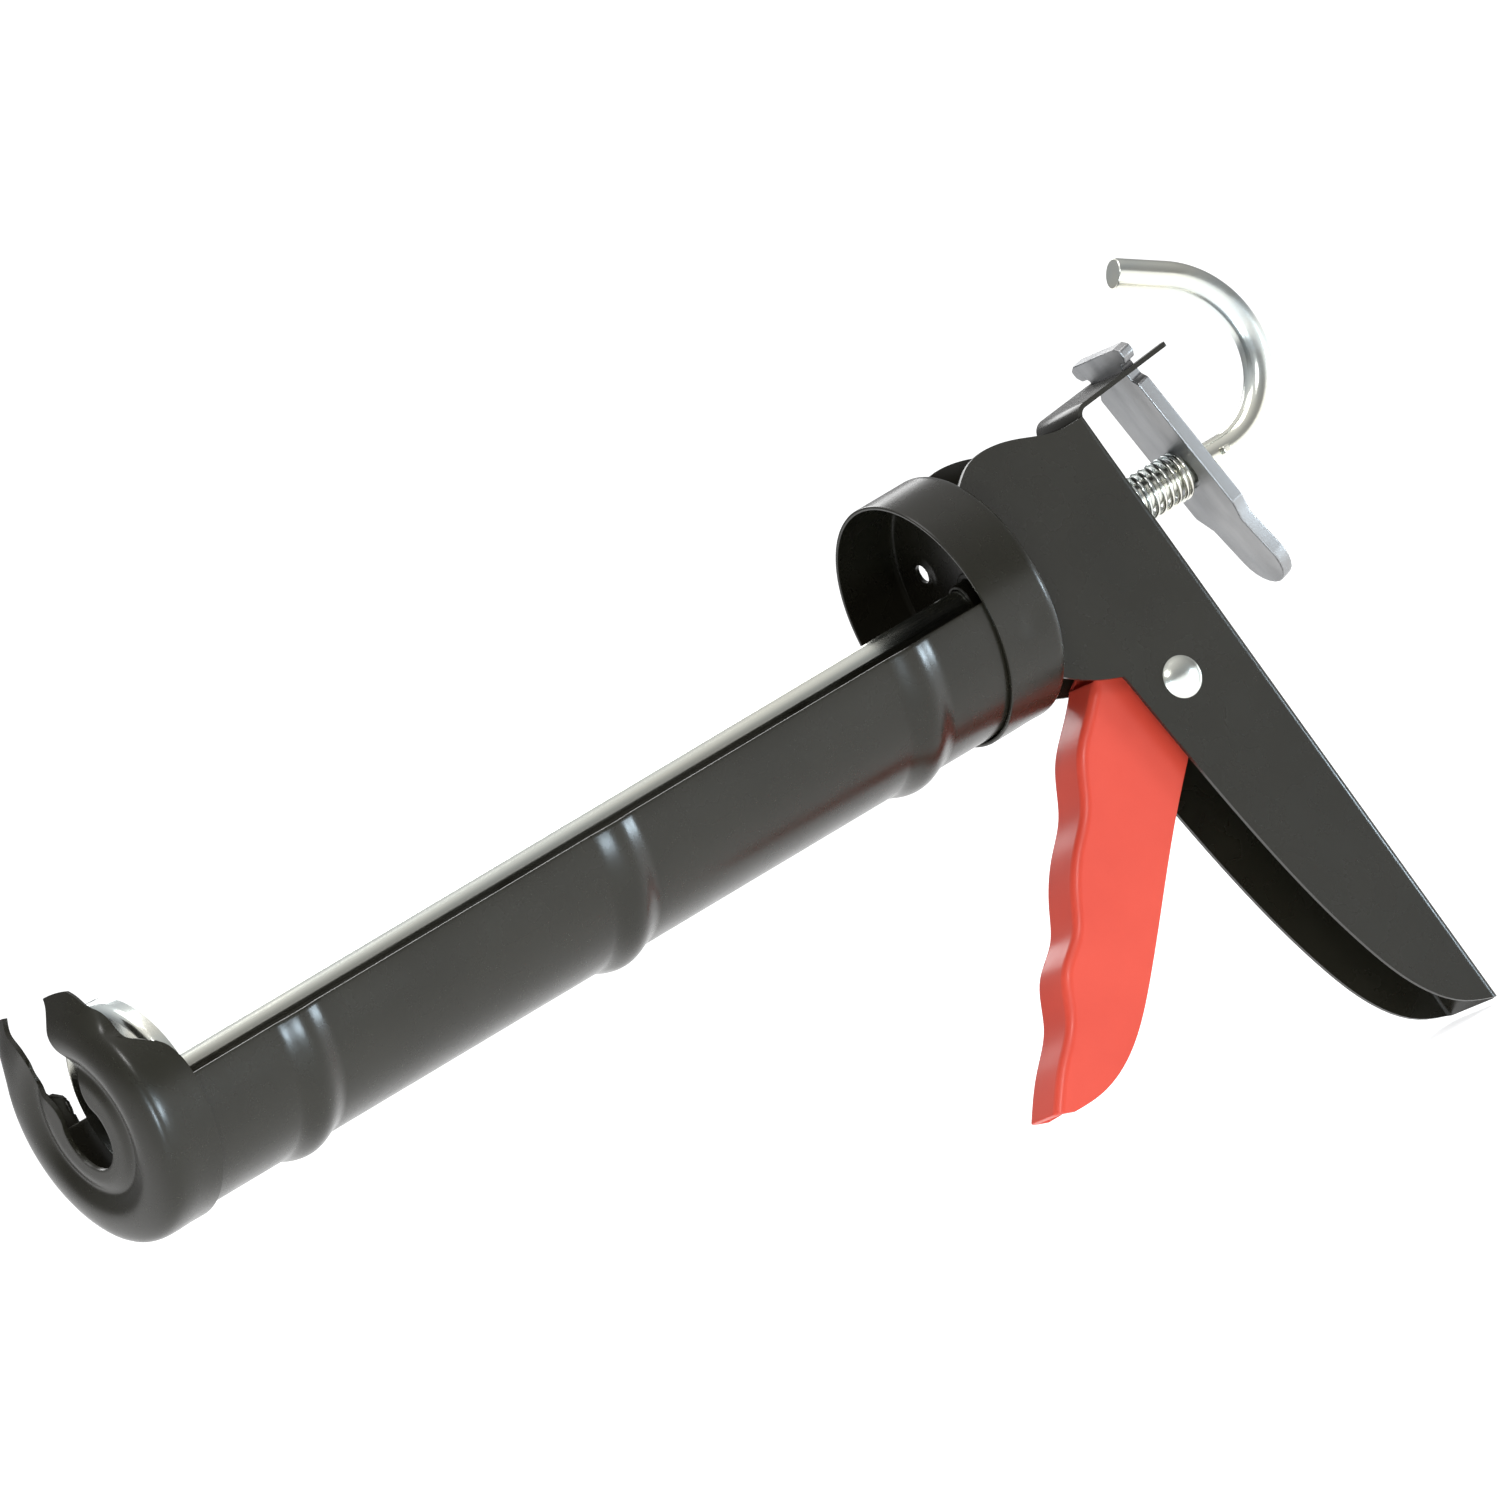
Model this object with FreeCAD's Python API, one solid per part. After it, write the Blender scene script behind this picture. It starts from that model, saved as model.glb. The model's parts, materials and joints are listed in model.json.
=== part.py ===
import FreeCAD, Part
import math
import os

from FreeCAD import Vector

# A half-barrel caulking gun with a smooth rod, for 300 ml cartridges. Millimetres.
# X runs along the rod towards the hook, Z is up, and Y goes from the left side plate to the right one.
# The origin is the middle of the nozzle slot, where the rod's axis meets the front of the cap.

# ---- driving dimensions ----
ROD_RADIUS = 3.175
ROD_FRONT = 11.5
BARREL_RADIUS = 25.9
BARREL_SHEET = 0.85
BARREL_FRONT = 5.0
BARREL_REAR = 234.0
RIB_CENTRES = (41.3, 124.0, 201.9)
RIB_HALF_WIDTH = 6.2
RIB_HEIGHT = 1.65

CAP_RADIUS = 27.0
CAP_SHEET = 1.05
CAP_REAR = 13.9
CAP_ROLL = -6.0
BEAD_RADIUS = 19.4
SLOT_RADIUS = 8.1
SLOT_DROP = 1.3
SLOT_THROAT = 6.8

CUP_RADIUS = 27.05
CUP_SHEET = 0.8
CUP_FRONT = 222.0
CUP_REAR = 237.0
CUP_CORNER = 2.0
CUP_HUB_RADIUS = 4.2
CUP_HOLE = (14.8, 8.4)
CUP_HOLE_RADIUS = 2.0
CUP_HOLE_RIM = 2.7
WELD_PLACE = 231.0
WELD_ANGLES = (-70, 0, 70)
WELD_RADIUS = 2.0

BUSHING_FRONT = 232.0
BUSHING_RADIUS = 4.1
BUSHING_FRONT_LIP = (235.3, 236.1, 5.4)
BUSHING_REAR_LIP = (239.6, 240.5, 6.2)
ROD_CLEARANCE = 0.1
WASHER_FRONT = 237.1
WASHER_RADIUS = 9.0

FRAME_HALF = 10.7
FRAME_SHEET = 1.0
FRAME_FRONT = 238.6
SPINE_TOP = (272.0, 20.8)
SPINE_END = (290.7, -122.4)
SPINE_BEND = 1.8
SPINE_HOLE_RADIUS = 3.9

TONGUE_REAR = 297.0
TONGUE_TOP = 25.3
TONGUE_RISE = 5.6
TONGUE_HALF = 9.4
PRONG_CORNER = 0.6
TONGUE_SLOT = ((285.8, 300.0), (-7.7, 7.7))
WEB_BOTTOM = -20.5
ROOF_HEIGHT = 16.9
STEP_PLACE = 271.5
BRACKET_BENDS = (1.5, 1.5, 2.4)
SPINE_NOTCH = ((266.0, 276.0), (-9.6, 9.6), (15.8, 30.0))

PIVOT = (262.3, -34.4)
RIVET_RADIUS = 2.5
RIVET_HEAD = 4.4
RIVET_DOME = 1.7
SPACER_RADIUS = 5.0
SPACER_GAP = 0.1
PIVOT_CLEARANCE = 0.08
TRIGGER_HALF = 6.5
TRIGGER_SHEET = 1.2
TRIGGER_BEND = 1.6
CAM_CENTRE = (269.1, -7.2)
CAM_RADIUS = 3.5
TRIGGER_FACING = (0.79, -0.613)

PLATE_SHEET = 3.0
PLATE_HEAD_TOP = (285.6, 29.1)
PLATE_BEND = (293.15, -10.0)
PLATE_END = (298.6, -29.6)
PLATE_TIP = -28.8
PLATE_HOLE_RADIUS = 4.0
PLATE_HOLE_HEIGHT = 0.2

DRIVE_SHEET = 2.5
DRIVE_REAR = 265.3
DRIVE_HALF = 8.0
DRIVE_HEIGHTS = (-11.0, 15.0)
DRIVE_CORNER = 2.0
DRIVE_CLEARANCE = 0.35

RETURN_FRONT = 240.6
RETURN_MEAN_RADIUS = 5.3
RETURN_WIRE_RADIUS = 0.5
RETURN_TURNS = 6
RELEASE_FRONT = 275.9
RELEASE_REAR = 290.3
RELEASE_MEAN_RADIUS = 4.7
RELEASE_WIRE_RADIUS = 0.475
RELEASE_TURNS = 6.5

PISTON_FRONT = 12.5
PISTON_RADIUS = 21.0
PISTON_SHEET = 1.2
PISTON_DEPTH = 4.0
PISTON_CORNER = 2.0
BACKER_REAR = 15.8
BACKER_RADIUS = 8.0
HEAD_RADIUS = 4.6
COLLAR = (15.9, 17.3, 4.0)
STAKES = ((296.6, 299.4), (-4.5, 4.5), (-0.8, 0.8))

BEND_START = 301.7
HOOK_ARCS = ((18.0, 95.0), (21.0, 55.0))
HOOK_TIP = 11.6

RUNS_PER_TURN = 16
FAR = 40.0
BEND_SHARE = 1 - math.sqrt(0.5)


# ---- helpers ----
def at(x, z, y=0.0):
    """A point from its place along the gun and its height."""
    return Vector(x, y, z)


def line(a, b):
    return Part.LineSegment(at(*a), at(*b)).toShape()


def curve(points, start=None, end=None):
    """A smooth edge in the side plane through the points."""
    spline = Part.BSplineCurve()
    if start is None:
        spline.interpolate([at(*p) for p in points])
    else:
        spline.interpolate(
            Points=[at(*p) for p in points], InitialTangent=at(*start), FinalTangent=at(*end)
        )
    return spline.toShape()


def arc(a, middle, b):
    return Part.Arc(at(*a), at(*middle), at(*b)).toShape()


def face_of(edges):
    return Part.Face(Part.Wire(Part.__sortEdges__(edges)))


def prism(edges, low, high):
    """The side outline, made solid from y = low to y = high."""
    face = face_of(edges)
    face.translate(Vector(0, low, 0))
    return face.extrude(Vector(0, high - low, 0))


def polygon(points):
    closed = list(points) + [points[0]]
    return [line(a, b) for a, b in zip(closed, closed[1:])]


def turned(edges, degrees=360.0):
    """Turns a half profile, whose height is its radius, about the rod's axis."""
    return face_of(edges).revolve(Vector(0, 0, 0), Vector(1, 0, 0), degrees)


def tube(front, rear, outer, inner=0.0):
    body = Part.makeCylinder(outer, rear - front, at(front, 0), Vector(1, 0, 0))
    if inner:
        body = body.cut(Part.makeCylinder(inner, rear - front, at(front, 0), Vector(1, 0, 0)))
    return body


def cross_pin(radius, low, high, place=PIVOT):
    """A cylinder across the gun at a place in the side plane."""
    return Part.makeCylinder(radius, high - low, at(place[0], place[1], low), Vector(0, 1, 0))


def box(x, y, z):
    """A box between pairs of limits."""
    return Part.makeBox(x[1] - x[0], y[1] - y[0], z[1] - z[0], Vector(x[0], y[0], z[0]))


def spring(front, rear, mean_radius, wire_radius, turns):
    """A round-wire coil about the rod's axis, in short mitred runs, between the two ends of its outline."""
    count = int(turns * RUNS_PER_TURN)
    length = rear - front - 2 * wire_radius
    points = []
    for i in range(count + 1):
        angle = 2 * math.pi * i / RUNS_PER_TURN
        along = front + wire_radius + length * i / count
        points.append(Vector(along, mean_radius * math.sin(angle), mean_radius * math.cos(angle)))
    section = Part.Wire(Part.makeCircle(wire_radius, points[0], points[1] - points[0]))
    mitred = 1
    return Part.makePolygon(points).makePipeShell([section], True, False, mitred)


def save(name, shape):
    shape = shape.removeSplitter() if shape.ShapeType in ("Solid", "Compound") else shape
    solids = shape.Solids
    whole = solids[0] if len(solids) == 1 else Part.makeCompound(solids)
    print(f"{name}: {len(solids)} solid, valid {whole.isValid()}, {whole.Volume / 1000:.2f} cm3")
    whole.exportStep(f"parts/{name}.step")


# ---- barrel ----
def trough_line(radius):
    """One side of the trough's section, from front to rear, with its pressed ribs."""
    edges = []
    last = BARREL_FRONT
    for centre in RIB_CENTRES:
        start = centre - RIB_HALF_WIDTH
        end = centre + RIB_HALF_WIDTH
        edges.append(line((last, radius), (start, radius)))
        steps = 8
        points = []
        for i in range(steps + 1):
            swing = 2 * i / steps - 1
            rise = RIB_HEIGHT * (1 + math.cos(math.pi * swing)) / 2
            points.append((centre + RIB_HALF_WIDTH * swing, radius + rise))
        edges.append(curve(points, (1, 0), (1, 0)))
        last = end
    edges.append(line((last, radius), (BARREL_REAR, radius)))
    return edges


def trough():
    inner = BARREL_RADIUS - BARREL_SHEET
    edges = trough_line(BARREL_RADIUS) + trough_line(inner)
    edges += [line((x, inner), (x, BARREL_RADIUS)) for x in (BARREL_FRONT, BARREL_REAR)]
    half = turned(edges, 180)
    half.rotate(Vector(0, 0, 0), Vector(1, 0, 0), 90)
    return half


def cap_profile(rolled, front=0.0):
    """The pressed face from its middle to its edge: a shallow ring groove, a bead and a rolled corner."""
    face = [(0, 5.0), (0, 9.4), (0.6, 11.8), (1.3, 14.4), (0.55, 17.2), (0, BEAD_RADIUS)]
    return [curve([(front + x, r) for x, r in face + rolled], (0, 1), (1, 0.02))]


def front_cap():
    sheet = CAP_SHEET
    inner = CAP_RADIUS - sheet
    # the skirt's corner is tight, and the lips beside the slot flare outwards
    skirt_outer = cap_profile([(0.9, 22.2), (2.2, 25.0), (3.0, 26.3), (4.6, CAP_RADIUS)])
    skirt_inner = cap_profile([(0.8, 21.8), (2.0, 24.3), (2.7, 25.4), (3.8, inner)], sheet)
    skirt = turned(
        skirt_outer
        + skirt_inner
        + [
            line((0, 5.0), (sheet, 5.0)),
            line((4.6, CAP_RADIUS), (CAP_REAR, CAP_RADIUS)),
            line((CAP_REAR, CAP_RADIUS), (CAP_REAR, inner)),
            line((CAP_REAR, inner), (3.8 + sheet, inner)),
        ]
    )
    # the skirt sweeps forwards and up to the lips, and stops below their tops
    side_edge = [(14.2, -2.0), (13.4, 2.5), (12.0, 7.0), (8.6, 9.4), (5.8, 12.3), (5.0, 16.5)]
    side_edge.append((6.4, 24.3))
    beyond = polygon([side_edge[-1], (6.4, FAR), (FAR, FAR), (FAR, -2), side_edge[0]])[:-1]
    skirt = skirt.cut(prism([curve(side_edge)] + beyond, -FAR, FAR))
    skirt = skirt.cut(box((-FAR, FAR), (-FAR, FAR), (20.5, FAR)))
    flared = [(0.5, 22.4), (1.5, 26.0), (3.0, 30.0)]
    flare_outer = cap_profile(flared)
    flare_inner = cap_profile(flared, sheet)
    ends = [line((0, 5.0), (sheet, 5.0)), line((3.0, 30.0), (3.0 + sheet, 30.0))]
    flare = turned(flare_outer + flare_inner + ends)
    lips = []
    for side in (-1, 1):
        throat = [(SLOT_THROAT, 8.0), (SLOT_THROAT, 13.4), (8.4, 17.4), (9.2, 20.2), (11.3, 23.2)]
        rounded = [(12.2, 26.6), (14.6, 26.3), (16.9, 22.6), (18.2, 17.5), (18.6, 12.0)]
        points = [Vector(0, side * y, z) for y, z in throat + rounded]
        edge = Part.BSplineCurve()
        edge.interpolate(points)
        closing = Part.LineSegment(points[-1], points[0]).toShape()
        lip = Part.Face(Part.Wire([edge.toShape(), closing])).extrude(Vector(8, 0, 0))
        lips.append(flare.common(lip))
    cap = skirt.fuse(lips)
    hole = tube(-CAP_REAR, CAP_REAR, SLOT_RADIUS)
    hole.translate(Vector(0, 0, -SLOT_DROP))
    throat = box((-CAP_REAR, CAP_REAR), (-SLOT_THROAT, SLOT_THROAT), (0, FAR))
    cap = cap.cut(hole.fuse(throat))
    cap.rotate(Vector(0, 0, 0), Vector(1, 0, 0), CAP_ROLL)
    return cap


def rear_cup():
    inner = CUP_RADIUS - CUP_SHEET
    corner = CUP_CORNER
    bend = corner * BEND_SHARE
    tight = corner - CUP_SHEET
    tight_bend = tight * BEND_SHARE
    web = CUP_REAR - CUP_SHEET
    hub = CUP_HUB_RADIUS
    corner_start = (CUP_REAR - corner, CUP_RADIUS)
    corner_end = (CUP_REAR, CUP_RADIUS - corner)
    tight_start = (web, inner - tight)
    tight_end = (web - tight, inner)
    edges = [
        line((CUP_FRONT, inner), (CUP_FRONT, CUP_RADIUS)),
        line((CUP_FRONT, CUP_RADIUS), corner_start),
        arc(corner_start, (CUP_REAR - bend, CUP_RADIUS - bend), corner_end),
        line(corner_end, (CUP_REAR, hub)),
        line((CUP_REAR, hub), (web, hub)),
        line((web, hub), tight_start),
        arc(tight_start, (web - tight_bend, inner - tight_bend), tight_end),
        line(tight_end, (CUP_FRONT, inner)),
    ]
    cup = turned(edges)
    # the small hole in the web, and its turned-out rim
    spot = Vector(0, *CUP_HOLE)
    rim = tube(web - 0.5, web + 0.1, CUP_HOLE_RIM)
    hole = tube(web - 1.5, CUP_REAR + 1, CUP_HOLE_RADIUS)
    rim.translate(spot)
    hole.translate(spot)
    cup = cup.fuse(rim).cut(hole)
    # weld nuggets that join the cup to the trough
    top = Vector(WELD_PLACE, 0, 0.2 - BARREL_RADIUS)
    nugget = Part.makeCylinder(WELD_RADIUS, CUP_RADIUS - BARREL_RADIUS, top, Vector(0, 0, -1))
    for angle in WELD_ANGLES:
        weld = nugget.copy()
        weld.rotate(Vector(0, 0, 0), Vector(1, 0, 0), angle)
        cup = cup.fuse(weld)
    return cup.cut(tube(CUP_FRONT, BARREL_REAR, BARREL_RADIUS))


# ---- handle frame ----
def frame_outline():
    top = [(FRAME_FRONT, 21.0), (242.7, 24.0), (248.0, 25.0), (255.7, 23.6), (264.5, 20.9), SPINE_TOP]
    grip = [SPINE_END, (283.2, -119.6), (275.7, -112.4), (269.6, -100.6), (261.1, -74.3)]
    grip += [(254.8, -47.3), (251.1, -29.6)]
    throat = [(250.7, -28.4), (246.1, -26.7), (242.0, -24.6), (FRAME_FRONT, -22.3)]
    return [
        curve(top),
        line(SPINE_TOP, SPINE_END),
        curve(grip),
        line(grip[-1], throat[0]),
        curve(throat),
        line(throat[-1], top[0]),
    ]


def handle_frame():
    solid = prism(frame_outline(), -FRAME_HALF, FRAME_HALF)
    straight = [e for e in solid.Edges if e.Length > 140 and e.Curve.TypeId == "Part::GeomLine"]
    solid = solid.makeFillet(SPINE_BEND, straight)
    lean = math.atan2(SPINE_END[0] - SPINE_TOP[0], SPINE_TOP[1] - SPINE_END[1])
    shift = FRAME_SHEET / math.cos(lean)
    slope = math.tan(lean)
    high, low = 60.0, -160.0
    high_x = SPINE_TOP[0] - shift - (high - SPINE_TOP[1]) * slope
    low_x = SPINE_TOP[0] - shift + (SPINE_TOP[1] - low) * slope
    front_x = FRAME_FRONT - FAR
    inside = polygon([(high_x, high), (low_x, low), (front_x, low), (front_x, high)])
    half = FRAME_HALF - FRAME_SHEET
    hollow = prism(inside, -half, half)
    middle_x = (high_x + low_x) / 2
    corner = [e for e in hollow.Edges if abs(e.CenterOfMass.x - middle_x) < 1 and e.Length > 200]
    hollow = hollow.makeFillet(SPINE_BEND - FRAME_SHEET, corner)
    solid = solid.cut(hollow)
    solid = solid.cut(tube(SPINE_TOP[0] - 10, SPINE_TOP[0] + 10, SPINE_HOLE_RADIUS))
    # the spine's top is notched where the bracket steps up through it
    solid = solid.cut(box(*SPINE_NOTCH))
    return solid.cut(cross_pin(RIVET_RADIUS, -FAR, FAR))


def folded_outline(points, radii, sheet):
    """The side outline of a sheet folded along the points, each inner point a bend of mean radius."""
    half = sheet / 2
    path = [Vector(x, 0, z) for x, z in points]
    heads = [(b - a).normalize() for a, b in zip(path, path[1:])]
    lefts = [Vector(-u.z, 0, u.x) for u in heads]
    chains = []
    for side in (half, -half):
        place = path[0] + lefts[0] * side
        edges = []
        for i, radius in enumerate(radii):
            corner = path[i + 1]
            turn = math.copysign(1, lefts[i].dot(heads[i + 1]))
            reach = radius * math.tan(heads[i].getAngle(heads[i + 1]) / 2)
            centre = corner - heads[i] * reach + lefts[i] * (turn * radius)
            out = (corner - centre).normalize()
            size = radius - turn * side
            start = centre - lefts[i] * (turn * size)
            end = centre - lefts[i + 1] * (turn * size)
            edges.append(Part.LineSegment(place, start).toShape())
            edges.append(Part.Arc(start, centre + out * size, end).toShape())
            place = end
        last = path[-1] + lefts[-1] * side
        edges.append(Part.LineSegment(place, last).toShape())
        chains.append((path[0] + lefts[0] * side, edges, last))
    (start, left, end), (other_start, right, other_end) = chains
    ends = [Part.LineSegment(start, other_start).toShape(), Part.LineSegment(end, other_end).toShape()]
    return left + right + ends


def front_bracket():
    """The folded strip inside the side plates: a web behind the cup, a roof, and a step up to the tongue.
    The tongue ends in two prongs that hold the release plate between them."""
    sheet = FRAME_SHEET
    web = FRAME_FRONT + sheet / 2
    step_top = TONGUE_TOP - sheet / 2 - (TONGUE_REAR - STEP_PLACE) * math.tan(math.radians(TONGUE_RISE))
    points = [
        (web, WEB_BOTTOM),
        (web, ROOF_HEIGHT),
        (STEP_PLACE, ROOF_HEIGHT),
        (STEP_PLACE, step_top),
        (TONGUE_REAR, TONGUE_TOP - sheet / 2),
    ]
    strip = prism(folded_outline(points, BRACKET_BENDS, sheet), -TONGUE_HALF, TONGUE_HALF)
    strip = strip.cut(box(*TONGUE_SLOT, (ROOF_HEIGHT, TONGUE_TOP + 5)))
    tip = [e for e in strip.Edges if e.CenterOfMass.x > TONGUE_REAR - 0.2 and e.Length < 1.1 * sheet]
    strip = strip.makeFillet(PRONG_CORNER, tip)
    return strip.cut(tube(BUSHING_FRONT, BUSHING_REAR_LIP[1], BUSHING_RADIUS))


def rod_bushing():
    """The eyelet that guides the rod, swaged through the web, and that the cup turns on."""
    bore = ROD_RADIUS + ROD_CLEARANCE
    barrel = tube(BUSHING_FRONT, BUSHING_REAR_LIP[1], BUSHING_RADIUS, bore)
    lips = [tube(front, rear, radius, bore) for front, rear, radius in (BUSHING_FRONT_LIP, BUSHING_REAR_LIP)]
    return barrel.fuse(lips)


def swivel_washer():
    return tube(WASHER_FRONT, FRAME_FRONT, WASHER_RADIUS, BUSHING_RADIUS)


def rivet_head(y, side):
    """A low domed head, from its flat face at y."""
    height = RIVET_DOME
    dome = (RIVET_HEAD**2 + height**2) / (2 * height)
    ball = Part.makeSphere(dome, at(PIVOT[0], PIVOT[1], y - side * (dome - height)))
    low = min(y, y + side * height)
    return ball.common(cross_pin(RIVET_HEAD + 1, low, low + height))


def pivot_rivet():
    pin = cross_pin(RIVET_RADIUS, -FRAME_HALF, FRAME_HALF)
    return pin.fuse([rivet_head(-FRAME_HALF, -1), rivet_head(FRAME_HALF, 1)])


def pivot_spacers():
    inner = FRAME_HALF - FRAME_SHEET
    rings = []
    near = TRIGGER_HALF + SPACER_GAP
    for low, high in ((-inner, -near), (near, inner)):
        rings.append(cross_pin(SPACER_RADIUS, low, high).cut(cross_pin(RIVET_RADIUS, low, high)))
    return Part.makeCompound(rings)


# ---- trigger ----
def trigger_front(shift=(0.0, 0.0)):
    """The three finger waves down the trigger's front, or the same line moved."""
    points = [(246.7, -26.4), (242.2, -31.0), (235.6, -37.6), (230.0, -47.6), (224.7, -53.1)]
    points += [(218.4, -61.8), (214.8, -67.8), (208.6, -73.2), (204.0, -82.0), (197.6, -88.9)]
    points.append((191.0, -97.0))
    return [(x + shift[0], z + shift[1]) for x, z in points]


def trigger():
    cx, cz = CAM_CENTRE
    front = trigger_front()
    grip_rear = [(195.2, -98.6), (202.4, -98.3), (209.8, -95.9), (224.1, -84.3), (236.8, -70.4)]
    grip_rear += [(249.2, -57.0), (262.0, -44.5), (268.5, -38.0)]
    ear_rear = [(268.5, -38.0), (271.6, -26.0), (cx + CAM_RADIUS, cz)]
    ear_front = [(cx - 2.6, cz - 2.35), (265.4, -13.4), (261.2, -20.0), (253.0, -23.2), front[0]]
    edges = [
        curve(front),
        line(front[-1], grip_rear[0]),
        curve(grip_rear),
        curve(ear_rear, (1, 2), (0, 1)),
        arc((cx + CAM_RADIUS, cz), (cx - 1.2, cz + 3.288), ear_front[0]),
        curve(ear_front),
    ]
    solid = prism(edges, -TRIGGER_HALF, TRIGGER_HALF)
    boxes = [(e, e.BoundBox) for e in solid.Edges]
    wave = [e for e, limits in boxes if limits.XMin < 200 and 245 < limits.XMax < 250]
    solid = solid.makeFillet(TRIGGER_BEND, wave)
    inner = trigger_front([part * TRIGGER_SHEET for part in TRIGGER_FACING])
    half = TRIGGER_HALF - TRIGGER_SHEET
    away = [inner[-1], (197, -130), (320, -130), (320, 20), (258, 20), (258, -21), inner[0]]
    hollow = prism([curve(inner)] + [line(a, b) for a, b in zip(away, away[1:])], -half, half)
    solid = solid.cut(hollow)
    return solid.cut(cross_pin(RIVET_RADIUS + PIVOT_CLEARANCE, -FAR, FAR))


# ---- drive plates and springs ----
def drive_plate(rear):
    plate = box((rear - DRIVE_SHEET, rear), (-DRIVE_HALF, DRIVE_HALF), DRIVE_HEIGHTS)
    edges = [e for e in plate.Edges if abs(e.Length - DRIVE_SHEET) < 0.01]
    plate = plate.makeFillet(DRIVE_CORNER, edges)
    return plate.cut(tube(rear - DRIVE_SHEET, rear, ROD_RADIUS + DRIVE_CLEARANCE))


# ---- release plate ----
def release_plate():
    head_top, bend, end = PLATE_HEAD_TOP, PLATE_BEND, PLATE_END
    faces = []
    for (x0, z0), (x1, z1) in ((head_top, bend), (bend, end)):
        length = math.hypot(x1 - x0, z1 - z0)
        faces.append(((z0 - z1) / length * PLATE_SHEET, (x1 - x0) / length * PLATE_SHEET))
    rear_top = (head_top[0] + faces[0][0], head_top[1] + faces[0][1])
    rear_end = (end[0] + faces[1][0], end[1] + faces[1][1])
    middle = ((faces[0][0] + faces[1][0]) / 2, (faces[0][1] + faces[1][1]) / 2)
    rear_bend = (bend[0] + middle[0], bend[1] + middle[1])
    slab = prism(polygon([head_top, bend, end, rear_end, rear_bend, rear_top]), -11.0, 11.0)
    half = [(9.0, 32.0), (10.8, 28.2), (10.8, 26.6), (9.6, 25.4), (7.2, 25.4), (7.2, 21.6)]
    half += [(8.5, 20.4), (8.5, -9.4), (6.3, -13.8), (6.3, -22.4)]
    before = head_top[0] - 10
    right = [Vector(before, y, z) for y, z in half]
    left = [Vector(before, -y, z) for y, z in reversed(half)]
    corners = left + right
    edges = [Part.LineSegment(a, b).toShape() for a, b in zip(corners, corners[1:])]
    edges.append(Part.Arc(corners[-1], Vector(before, 0, PLATE_TIP), corners[0]).toShape())
    outline = Part.Face(Part.Wire(edges)).extrude(Vector(FAR, 0, 0))
    hole = tube(before, before + FAR, PLATE_HOLE_RADIUS)
    hole.translate(Vector(0, 0, PLATE_HOLE_HEIGHT))
    return slab.common(outline).cut(hole)


# ---- rod and piston ----
def push_rod():
    place = (BEND_START, 0.0)
    heading = 0.0
    edges = [line((ROD_FRONT, 0), place)]
    for radius, degrees in HOOK_ARCS:
        centre = (place[0] - radius * math.sin(heading), place[1] + radius * math.cos(heading))
        stops = [heading + math.radians(degrees) * part for part in (0.5, 1.0)]
        middle, end = [(centre[0] + radius * math.sin(a), centre[1] - radius * math.cos(a)) for a in stops]
        edges.append(arc(place, middle, end))
        place, heading = end, stops[-1]
    tip = (place[0] + HOOK_TIP * math.cos(heading), place[1] + HOOK_TIP * math.sin(heading))
    edges.append(line(place, tip))
    path = Part.Wire(edges)
    section = Part.Wire(Part.makeCircle(ROD_RADIUS, at(ROD_FRONT, 0), Vector(1, 0, 0)))
    rod = path.makePipeShell([section], True, True)
    head = tube(ROD_FRONT, PISTON_FRONT - ROD_CLEARANCE, HEAD_RADIUS)
    return rod.fuse([head, tube(*COLLAR), box(*STAKES)])


def piston_disc():
    bore = ROD_RADIUS + ROD_CLEARANCE
    front, outer = PISTON_FRONT, PISTON_RADIUS
    inner = outer - PISTON_SHEET
    web = front + PISTON_SHEET
    rim = front + PISTON_DEPTH
    corner = PISTON_CORNER
    tight = corner - PISTON_SHEET
    bend = corner * BEND_SHARE
    tight_bend = tight * BEND_SHARE
    edges = [
        line((front, bore), (front, outer - corner)),
        arc((front, outer - corner), (front + bend, outer - bend), (front + corner, outer)),
        line((front + corner, outer), (rim, outer)),
        line((rim, outer), (rim, inner)),
        line((rim, inner), (web + tight, inner)),
        arc((web + tight, inner), (web + tight_bend, inner - tight_bend), (web, inner - tight)),
        line((web, inner - tight), (web, bore)),
        line((web, bore), (front, bore)),
    ]
    return turned(edges)


def piston_backer():
    return tube(PISTON_FRONT + PISTON_SHEET, BACKER_REAR, BACKER_RADIUS, ROD_RADIUS + ROD_CLEARANCE)


def main():
    os.makedirs("parts", exist_ok=True)
    save("barrel_trough", trough())
    save("front_cap", front_cap())
    save("rear_cup", rear_cup())
    save("handle_frame", handle_frame())
    save("front_bracket", front_bracket())
    save("rod_bushing", rod_bushing())
    save("swivel_washer", swivel_washer())
    save("pivot_rivet", pivot_rivet())
    save("pivot_spacers", pivot_spacers())
    save("trigger", trigger())
    save("drive_plate_rear", drive_plate(DRIVE_REAR))
    save("drive_plate_front", drive_plate(DRIVE_REAR - DRIVE_SHEET))
    return_rear = DRIVE_REAR - 2 * DRIVE_SHEET - 0.05
    save(
        "return_spring",
        spring(RETURN_FRONT, return_rear, RETURN_MEAN_RADIUS, RETURN_WIRE_RADIUS, RETURN_TURNS),
    )
    save(
        "release_spring",
        spring(RELEASE_FRONT, RELEASE_REAR, RELEASE_MEAN_RADIUS, RELEASE_WIRE_RADIUS, RELEASE_TURNS),
    )
    save("release_plate", release_plate())
    save("push_rod", push_rod())
    save("piston_disc", piston_disc())
    save("piston_backer", piston_backer())


main()
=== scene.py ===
import json
import math

import bmesh
import bpy
import numpy as np
from mathutils import Matrix, Vector


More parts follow.
